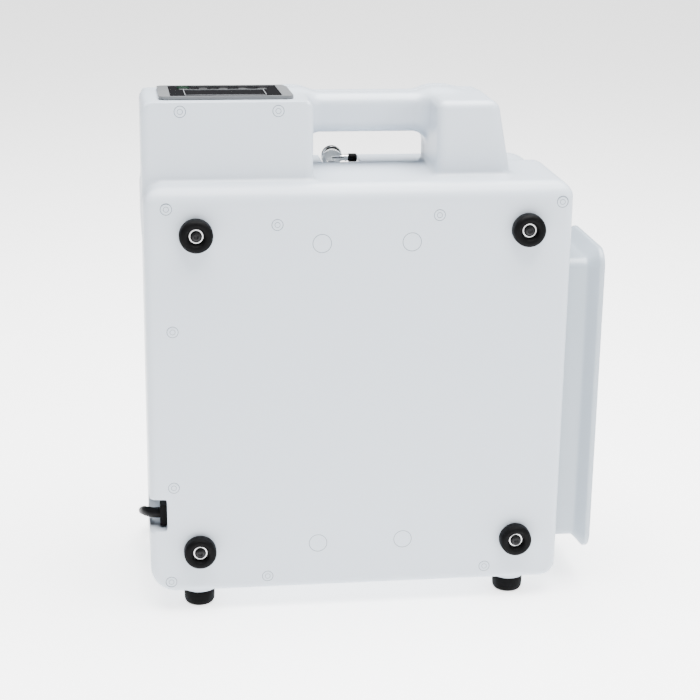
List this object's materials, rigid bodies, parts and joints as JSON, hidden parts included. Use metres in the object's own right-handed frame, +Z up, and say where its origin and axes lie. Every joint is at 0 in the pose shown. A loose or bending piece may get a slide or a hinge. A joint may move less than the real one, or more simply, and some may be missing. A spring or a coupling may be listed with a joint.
{
  "type": "oxygen concentrator",
  "caption": "Suitcase-style oxygen concentrator with carry handle, display tower, open bottle bay, rubber feet, and a full air system inside.",
  "frame": {"origin": "centre of the footprint of the object without its cord, on the surface that the four base feet stand on", "axes": "+Z up, +Y from the rear face with its four feet towards the user side with its grilles, +X towards the bottle bay"},
  "size_m": [0.3361, 0.319, 0.3728],
  "materials": {
    "casing_white": "fine moulded texture, cool white",
    "bay_white": "smooth moulded, slightly bluish white",
    "grille_white": "fine moulded texture",
    "panel_silver": "satin silver-grey",
    "panel_black": "high gloss",
    "key_green": "satin",
    "key_grey": "satin",
    "circuit_green": "semi-gloss solder mask",
    "component_black": "moulded",
    "rubber_black": "satin moulded rubber",
    "screw_steel": "zinc plated",
    "screw_black": "black oxide",
    "chassis_steel": "galvanised sheet",
    "outlet_chrome": "polished",
    "brass": "turned",
    "cast_alloy": "cast",
    "tube_alloy": "drawn and brushed",
    "steel_dark": "laminated steel",
    "jar_clear": "clear moulded",
    "lid_blue": "satin",
    "seal_orange": "silicone",
    "foam_black": "open-cell foam",
    "hose_clear": "silicone hose",
    "tank_blue": "powder coated",
    "cord_black": "soft satin sheath",
    "plug_black": "moulded"
  },
  "bodies": {
    "casing": {"rear_shell": "casing_white", "front_shell": "casing_white", "case_screws": "screw_steel", "screw_caps": "casing_white", "panel_frame": "panel_silver", "panel_window": "panel_black", "lcd_module": "component_black", "panel_board": "circuit_green", "key_switches": "component_black", "buzzer": "component_black", "panel_screws": "screw_steel", "rear_feet": "rubber_black", "foot_washers": "screw_steel", "foot_screws": "screw_black", "base_feet": "rubber_black", "base_foot_screws": "screw_steel", "bottle_bay": "bay_white", "bay_screws": "screw_steel", "bottle_cradle": "bay_white", "outlet_fitting": "outlet_chrome", "outlet_cap": "rubber_black", "outlet_nut": "brass", "exhaust_grille": "grille_white", "fan_frame": "component_black", "filter_box": "grille_white", "chassis": "chassis_steel", "chassis_screws": "screw_steel", "compressor_mounts": "rubber_black", "crankcases": "cast_alloy", "motor_stator": "steel_dark", "bearings": "screw_steel", "cylinders": "tube_alloy", "cylinder_heads": "cast_alloy", "sieve_beds": "tube_alloy", "bed_brackets": "chassis_steel", "oxygen_tank": "tank_blue", "valve_block": "brass", "control_board": "circuit_green", "power_supply": "circuit_green", "air_hoses": "hose_clear", "cord_gland": "rubber_black", "cord_lead": "cord_black", "cord_coil": "cord_black", "mains_plug": "plug_black"},
    "power_key": {"power_key": "key_green"},
    "flow_up_key": {"flow_up_key": "key_grey"},
    "flow_down_key": {"flow_down_key": "key_grey"},
    "timer_key": {"timer_key": "key_grey"},
    "mute_key": {"mute_key": "key_grey"},
    "fan_rotor": {"fan_rotor": "component_black"},
    "motor_rotor": {"motor_rotor": "screw_steel"},
    "left_piston": {"left_piston": "tube_alloy"},
    "right_piston": {"right_piston": "tube_alloy"},
    "valve_plunger": {"valve_plunger": "screw_steel"},
    "bottle": {"bottle_jar": "jar_clear", "bottle_seal": "seal_orange"},
    "bottle_lid": {"bottle_lid": "lid_blue", "bubbler_stem": "hose_clear"},
    "filter_cover": {"filter_cover": "grille_white", "filter_foam": "foam_black"}
  },
  "joints": [
    {"name": "power_press", "type": "slide", "parent": "casing", "child": "power_key", "axis": [0, -0.0349, -0.9994], "range_m": [0, 0.0008], "stiffness_N_per_m": 400, "springref_m": -0.001},
    {"name": "flow_up_press", "type": "slide", "parent": "casing", "child": "flow_up_key", "axis": [0, -0.0349, -0.9994], "range_m": [0, 0.0008], "stiffness_N_per_m": 400, "springref_m": -0.001},
    {"name": "flow_down_press", "type": "slide", "parent": "casing", "child": "flow_down_key", "axis": [0, -0.0349, -0.9994], "range_m": [0, 0.0008], "stiffness_N_per_m": 400, "springref_m": -0.001},
    {"name": "timer_press", "type": "slide", "parent": "casing", "child": "timer_key", "axis": [0, -0.0349, -0.9994], "range_m": [0, 0.0008], "stiffness_N_per_m": 400, "springref_m": -0.001},
    {"name": "mute_press", "type": "slide", "parent": "casing", "child": "mute_key", "axis": [0, -0.0349, -0.9994], "range_m": [0, 0.0008], "stiffness_N_per_m": 400, "springref_m": -0.001},
    {"name": "fan_spin", "type": "hinge", "parent": "casing", "child": "fan_rotor", "pos_m": [-0.069, 0.055, 0.0925], "axis": [0, 1, 0], "continuous": true},
    {"name": "motor_spin", "type": "hinge", "parent": "casing", "child": "motor_rotor", "pos_m": [-0.05, -0.006, 0.098], "axis": [1, 0, 0], "continuous": true},
    {"name": "left_piston_stroke", "type": "slide", "parent": "casing", "child": "left_piston", "axis": [0, 0, 1], "range_m": [-0.004, 0.004]},
    {"name": "right_piston_stroke", "type": "slide", "parent": "casing", "child": "right_piston", "axis": [0, 0, 1], "range_m": [-0.004, 0.004]},
    {"name": "valve_plunge", "type": "slide", "parent": "casing", "child": "valve_plunger", "axis": [0, 0, -1], "range_m": [0, 0.002], "stiffness_N_per_m": 150, "springref_m": -0.003},
    {"name": "bottle_slide", "type": "slide", "parent": "casing", "child": "bottle", "axis": [1, 0, 0], "range_m": [0, 0.13]},
    {"name": "lid_turn", "type": "hinge", "parent": "bottle", "child": "bottle_lid", "pos_m": [0.12, -0.003, 0.1695], "axis": [0, 0, 1], "range_deg": [0, 90]},
    {"name": "filter_cover_pull", "type": "slide", "parent": "casing", "child": "filter_cover", "axis": [0, 1, 0], "range_m": [0, 0.03]}
  ],
  "couplings": [
    {"joint": "right_piston_stroke", "follows": "left_piston_stroke", "ratio": -1}
  ]
}
